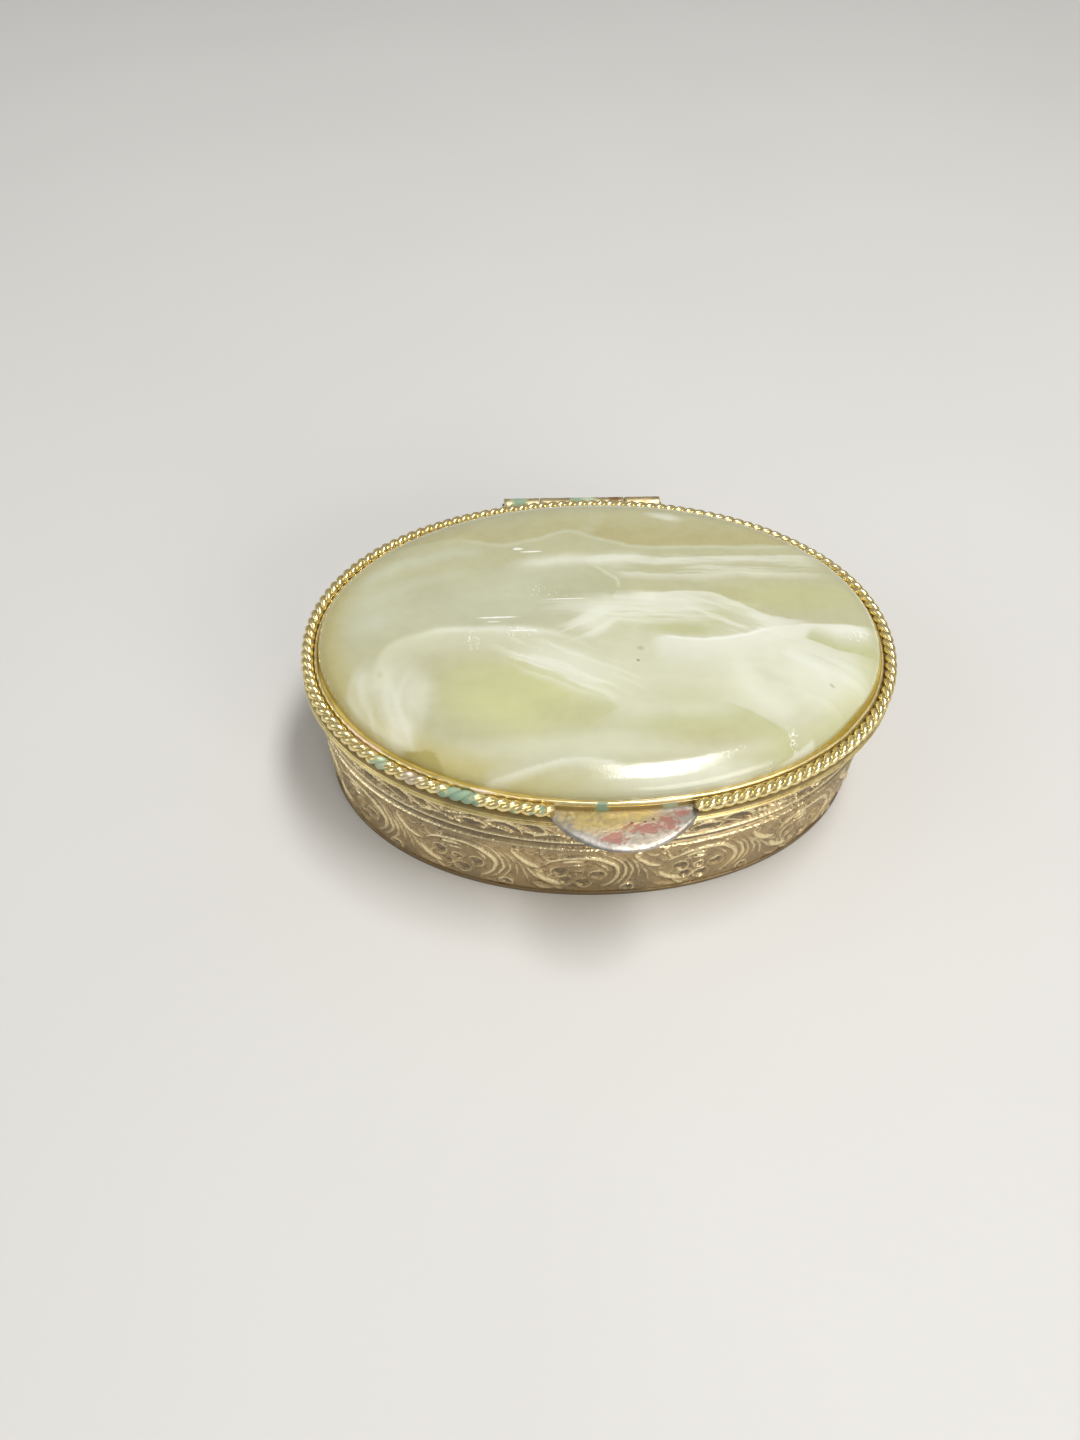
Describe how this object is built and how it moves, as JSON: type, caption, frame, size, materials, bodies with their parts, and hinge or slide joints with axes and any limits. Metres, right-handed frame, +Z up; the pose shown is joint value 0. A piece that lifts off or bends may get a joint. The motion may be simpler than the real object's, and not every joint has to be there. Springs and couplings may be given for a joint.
{
  "type": "trinket box",
  "caption": "Oval gilt metal trinket box with an embossed side, a hinged lid holding a domed green stone, a rope edge and a thumb tab.",
  "frame": {"origin": "centre of the oval base on the surface that the box stands on", "axes": "+X along the oval's long axis and the hinge, +Y from the thumb tab to the hinge, +Z up"},
  "size_m": [0.07, 0.0565, 0.0214],
  "materials": {
    "embossed_gilt": "embossed, antique gilt with dark recesses",
    "polished_gilt": "polished gilt, lightly tarnished",
    "plain_gilt": "satin gilt",
    "hinge_gilt": "satin gilt with verdigris",
    "pin_steel": "drawn wire",
    "worn_tab": "gilt worn through to silver-grey and copper",
    "onyx": "polished green onyx",
    "cement": "amber glue",
    "velvet": "short pile velvet",
    "card": "plain grey board"
  },
  "bodies": {
    "box": {"side_wall": "embossed_gilt", "rim_ring": "polished_gilt", "base_plate": "plain_gilt", "inner_band": "plain_gilt", "pad_card": "card", "velvet_pad": "velvet", "base_hinge_leaf": "hinge_gilt", "left_knuckle": "hinge_gilt", "right_knuckle": "hinge_gilt", "hinge_pin": "pin_steel"},
    "lid": {"lid_plate": "plain_gilt", "lid_flange": "plain_gilt", "bezel_band": "polished_gilt", "rope_wire": "polished_gilt", "stone_cement": "cement", "onyx_stone": "onyx", "thumb_tab": "worn_tab", "lid_hinge_leaf": "hinge_gilt", "lid_knuckle": "hinge_gilt"}
  },
  "joints": [
    {"name": "lid_hinge", "type": "hinge", "parent": "box", "child": "lid", "pos_m": [0, 0.02635, 0.0166], "axis": [-1, 0, 0], "range_deg": [0, 105]}
  ]
}
